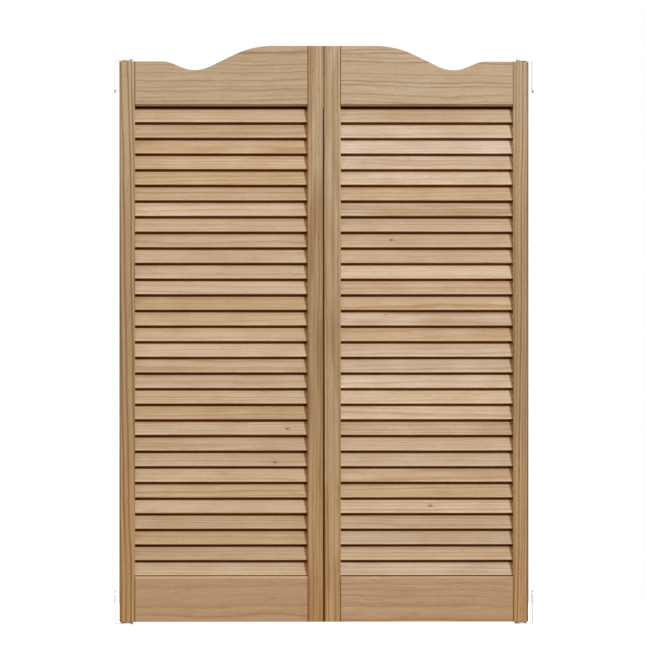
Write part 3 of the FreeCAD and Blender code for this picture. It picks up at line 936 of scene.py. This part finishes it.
def slatMaterial(look):
    material, tree, shader = newShader("pineSlats")

    def attribute(name, output="Fac"):
        return addNode(tree, "ShaderNodeAttribute", attribute_name=name).outputs[output]

    def within(value, edge):
        return ramp(tree, value, slatPaintedShading[edge]["from"], slatPaintedShading[edge]["full"])

    place = vectorCalc(tree, "SCALE", attribute("boardPlace", "Vector"), millimetres)
    spot = splitVector(tree, place)
    pith = attribute("slatPith", "Vector")
    tone = splitVector(tree, attribute("slatTone", "Vector"))
    slant = joinVector(tree, y=times(tree, spot["X"], attribute("slatSlant")))
    cut = vectorCalc(tree, "ADD", vectorCalc(tree, "ADD", place, slant), pith)
    height = splitVector(tree, addNode(tree, "ShaderNodeTexCoord").outputs["Object"])["Z"]
    above = calc(tree, "SUBTRACT", height, look["middle"])

    # each slat has its own depth, and is uneven along its length
    depth = scaled(tree, tone["Y"], look["own"], attribute("slatDeeper"))
    depth = scaled(tree, centred(tree, noise(tree, cut, **look["cloudNoise"])), look["cloud"], depth)
    # painted light: paler towards the top of the leaf
    depth = scaled(tree, above, look["topLightDepth"], depth)

    # painted shade: deeper where the slat above shades it and under its own nose
    throat = within(spot["Y"], "throat")
    depth = scaled(tree, throat, slatPaintedShading["throat"]["depth"], depth)
    atNose = within(spot["Y"], "nose")
    under = times(tree, atNose, within(spot["Z"], "under"))
    depth = scaled(tree, under, slatPaintedShading["under"]["depth"], depth)

    # painted shade against the stiles: a slanting painted shadow at the far end, with painted light
    # within the real shadow, and a painted dark corner of the throat at the near one
    end = times(tree, attribute("slatEnd"), millimetres)
    upSlat = calc(tree, "ADD", spot["Y"], slatSizes["Width"] / 2 * millimetres)
    fromEnd = calc(tree, "SUBTRACT", end, spot["X"])
    reach = calc(tree, "SUBTRACT", fromEnd, times(tree, upSlat, slatWedge["slope"]))
    outOfShadow = ramp(tree, reach, *slatWedge["inner"])
    wedge = between(tree, outOfShadow, *slatWedge["depth"])
    wedge = times(tree, wedge, flipped(tree, ramp(tree, reach, *slatWedge["outer"])))
    depth = calc(tree, "ADD", wedge, depth)
    corner = flipped(tree, ramp(tree, calc(tree, "ADD", end, spot["X"]), *slatCorner["reach"]))
    depth = scaled(tree, times(tree, corner, throat), slatCorner["depth"], depth)
    # painted shade on the slats just under the top rail and just over the bottom rail
    for edge in ("first", "last"):
        depth = scaled(tree, within(height, edge), slatPaintedShading[edge]["depth"], depth)

    # painted light: paler towards the top, a painted highlight on the nose, and painted light within
    # the stile's shadow
    gain = scaled(tree, above, look["topLightGain"], 1.0)
    noseHighlight = times(tree, atNose, within(spot["Z"], "noseHighlight"))
    gain = scaled(tree, noseHighlight, slatPaintedShading["noseHighlight"]["gain"], gain)
    gain = scaled(tree, flipped(tree, outOfShadow), slatWedge["gain"], gain)

    def toned(least, most):
        return scaled(tree, tone["Z"], most - least, least)

    values = {
        "Place": cut,
        "Board Place": place,
        "Ring Width": attribute("slatRing"),
        "Waviness": look["waviness"],
        "Line": toned(*look["line"]),
        "Gold": toned(*look["gold"]),
        "Streak": times(tree, attribute("slatStreak"), look["streak"]),
        "Fibre": look["fibre"],
        "Band": look["band"],
        "Seed": splitVector(tree, pith)["X"],
        "Knot Place": attribute("slatKnotPlace", "Vector"),
        "Knot Size": attribute("slatKnot"),
    }
    pinker = vectorCalc(tree, "SCALE", look["pinker"], tone["X"])
    pale = vectorCalc(tree, "ADD", pinker, look["pale"])
    pineInto(tree, shader, pale, values, depth, gain)
    return material


def slatHeight():  # of one tilted slat
    half, nose = slatSizes["Thickness"] / 2, slatSizes["Nose"]
    radius = (half * half + nose * nose) / (2 * nose)
    tilt = math.radians(slatSizes["Tilt"])
    return 2 * ((slatSizes["Width"] / 2 - radius) * math.cos(tilt) + radius)


def makeSlats(side, tree):
    names = [f"{side}_{name}" for name in slatNodes]
    corners = [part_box(name) for name in names]
    low = Vector(map(min, *(pair[0] for pair in corners)))
    high = Vector(map(max, *(pair[1] for pair in corners)))
    pitch = (high.z - low.z - slatHeight()) / (slatSizes["Count"] - 1)
    values = dict(slatSizes, **slatSides[side])
    values["Pitch"] = pitch
    values["Length"] = high.x - low.x
    values["Housed"] = high.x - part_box(shadedStile[side])[0].x
    values["Centre"] = (high.x + low.x) / 2
    values["Top Centre"] = high.z - slatHeight() / 2

    slats = addObject(f"{side}Slats", bpy.data.meshes.new(f"{side}SlatsStart"))
    modifier = slats.modifiers.new("louvreSlats", "NODES")
    modifier.node_group = tree
    for item in tree.interface.items_tree:
        if item.in_out == "INPUT":
            modifier[item.identifier] = values[item.name]
    evaluated = slats.evaluated_get(bpy.context.evaluated_depsgraph_get())
    mesh = bpy.data.meshes.new_from_object(evaluated)
    slats.modifiers.remove(modifier)
    slats.data = mesh
    smoothFaces(mesh)
    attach(slats, f"{side}_leaf")
    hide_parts(*names)
    pitchText = round(pitch * millimetres, 3)
    print("cafe doors:", side, "slats,", len(mesh.polygons), "faces, pitch", pitchText, "mm")


louvreTree = slatTree(slatMaterial(slatLook))
for sideName in sides:
    makeSlats(sideName, louvreTree)


# hardware: satin nickel plates and brackets, ground steel pins, oiled springs, nylon, plain dowels

metals = {
    "nickelPlate": {
        "colour": (0.62, 0.605, 0.58),
        "rough": 0.34,
        "spread": 0.10,
        "grain": (900.0, 900.0, 60.0),
        "relief": 0.00002,
    },
    "nickelScrew": {
        "colour": (0.66, 0.645, 0.62),
        "rough": 0.24,
        "spread": 0.08,
        "grain": (700.0, 700.0, 700.0),
        "relief": 0.00002,
    },
    "groundSteel": {
        "colour": (0.58, 0.58, 0.59),
        "rough": 0.22,
        "spread": 0.10,
        "grain": (60.0, 60.0, 2600.0),
        "relief": 0.00001,
    },
    "oiledSpring": {
        "colour": (0.16, 0.155, 0.16),
        "rough": 0.38,
        "spread": 0.14,
        "grain": (500.0, 500.0, 500.0),
        "relief": 0.00002,
    },
}
metalScratches = {"detail": 3.0, "roughness": 0.6}
metalClouds = {"stretch": (55.0, 55.0, 55.0), "detail": 3.0, "roughness": 0.55}
metalTints = {"clouds": 0.22, "scratches": 0.12}
metalReliefStrength = 0.5


def metalMaterial(name, look):
    material, tree, shader = newShader(name)
    coordinates = addNode(tree, "ShaderNodeTexCoord").outputs["Object"]
    scratches = noise(tree, coordinates, look["grain"], **metalScratches)
    clouds = noise(tree, coordinates, **metalClouds)
    shader.inputs["Metallic"].default_value = 1.0
    tint = scaled(tree, centred(tree, clouds), metalTints["clouds"], 1.0)
    tint = scaled(tree, centred(tree, scratches), metalTints["scratches"], tint)
    feed(tree, vectorCalc(tree, "SCALE", look["colour"], tint), shader.inputs["Base Color"])
    rough = scaled(tree, centred(tree, scratches), look["spread"], look["rough"])
    rough = scaled(tree, centred(tree, clouds), look["spread"], rough)
    feed(tree, rough, shader.inputs["Roughness"])
    bumpFrom(tree, scratches, shader, look["relief"], metalReliefStrength)
    return material


nylonLook = {
    "colour": (0.80, 0.78, 0.71),
    "tint": 0.1,
    "rough": 0.46,
    "spread": 0.12,
    "clouds": (90.0, 90.0, 90.0),
    "grain": (1500.0, 1500.0, 1500.0),
    "relief": 0.00003,
    "reliefStrength": 0.4,
    "glow": 0.25,                      # light that goes in and comes out again
    "glowReach": (0.004, 0.0035, 0.003),
    "glowScale": 0.4,
}


def nylonMaterial(look):
    material, tree, shader = newShader("naturalNylon")
    coordinates = addNode(tree, "ShaderNodeTexCoord").outputs["Object"]
    clouds = noise(tree, coordinates, look["clouds"])
    grain = noise(tree, coordinates, look["grain"])
    tint = scaled(tree, centred(tree, clouds), look["tint"], 1.0)
    feed(tree, vectorCalc(tree, "SCALE", look["colour"], tint), shader.inputs["Base Color"])
    rough = scaled(tree, centred(tree, grain), look["spread"], look["rough"])
    feed(tree, rough, shader.inputs["Roughness"])
    shader.inputs["Subsurface Weight"].default_value = look["glow"]
    shader.inputs["Subsurface Radius"].default_value = look["glowReach"]
    shader.inputs["Subsurface Scale"].default_value = look["glowScale"]
    bumpFrom(tree, grain, shader, look["relief"], look["reliefStrength"])
    return material


dowelLook = {
    "pale": (0.60, 0.44, 0.29),
    "pith": (0.0, 21.0, 9.0),  # mm
    "Ring Width": 2.2,
    "Waviness": 0.5,
    "Line": 0.12,
    "Gold": 0.08,
    "Seed": 31.0,
}


def dowelMaterial(look):
    material, tree, shader = newShader("beechDowel")
    coordinates = addNode(tree, "ShaderNodeTexCoord").outputs["Object"]
    values = grainValues(look)
    values["Place"] = boardCoordinates(tree, coordinates, look["pith"])
    pineInto(tree, shader, look["pale"], values)
    return material


finishes = {name: metalMaterial(name, look) for name, look in metals.items()}
finishes["naturalNylon"] = nylonMaterial(nylonLook)
finishes["beechDowel"] = dowelMaterial(dowelLook)
fittings = {
    "nickelPlate": (
        "upper_door_plate",
        "lower_door_plate",
        "upper_jamb_bracket",
        "lower_jamb_bracket",
    ),
    "nickelScrew": ("upper_plate_screws", "lower_plate_screws"),
    "groundSteel": ("upper_pivot_pin", "lower_pivot_pin"),
    "oiledSpring": ("return_spring",),
    "naturalNylon": ("upper_bush", "spring_socket", "thrust_washer"),
    "beechDowel": ("top_rail_dowels", "bottom_rail_dowels"),
}
for finishName, fittingNames in fittings.items():
    for fittingName in fittingNames:
        for sideName in sides:
            dress(f"{sideName}_{fittingName}", finishes[finishName])
print("cafe doors: hardware finished")


# return springs: a smoothed copy of each, with its doubled points merged, is shown in place of the
# part

springLook = {
    "windFrom": 0.0047,  # heights where the winding begins and ends
    "windTo": 0.0139,
    "merge": 1e-6,       # metres
}


def makeSpring(side, look):
    node = f"{side}_return_spring"
    mesh = nodes[node].data.copy()
    spring = addObject(f"{side}ReturnSpring", mesh)
    work = bmesh.new()
    work.from_mesh(mesh)
    bmesh.ops.remove_doubles(work, verts=work.verts, dist=look["merge"])
    work.to_mesh(mesh)
    work.free()
    smoothFaces(mesh)
    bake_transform(spring)
    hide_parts(node)


for sideName in sides:
    makeSpring(sideName, springLook)
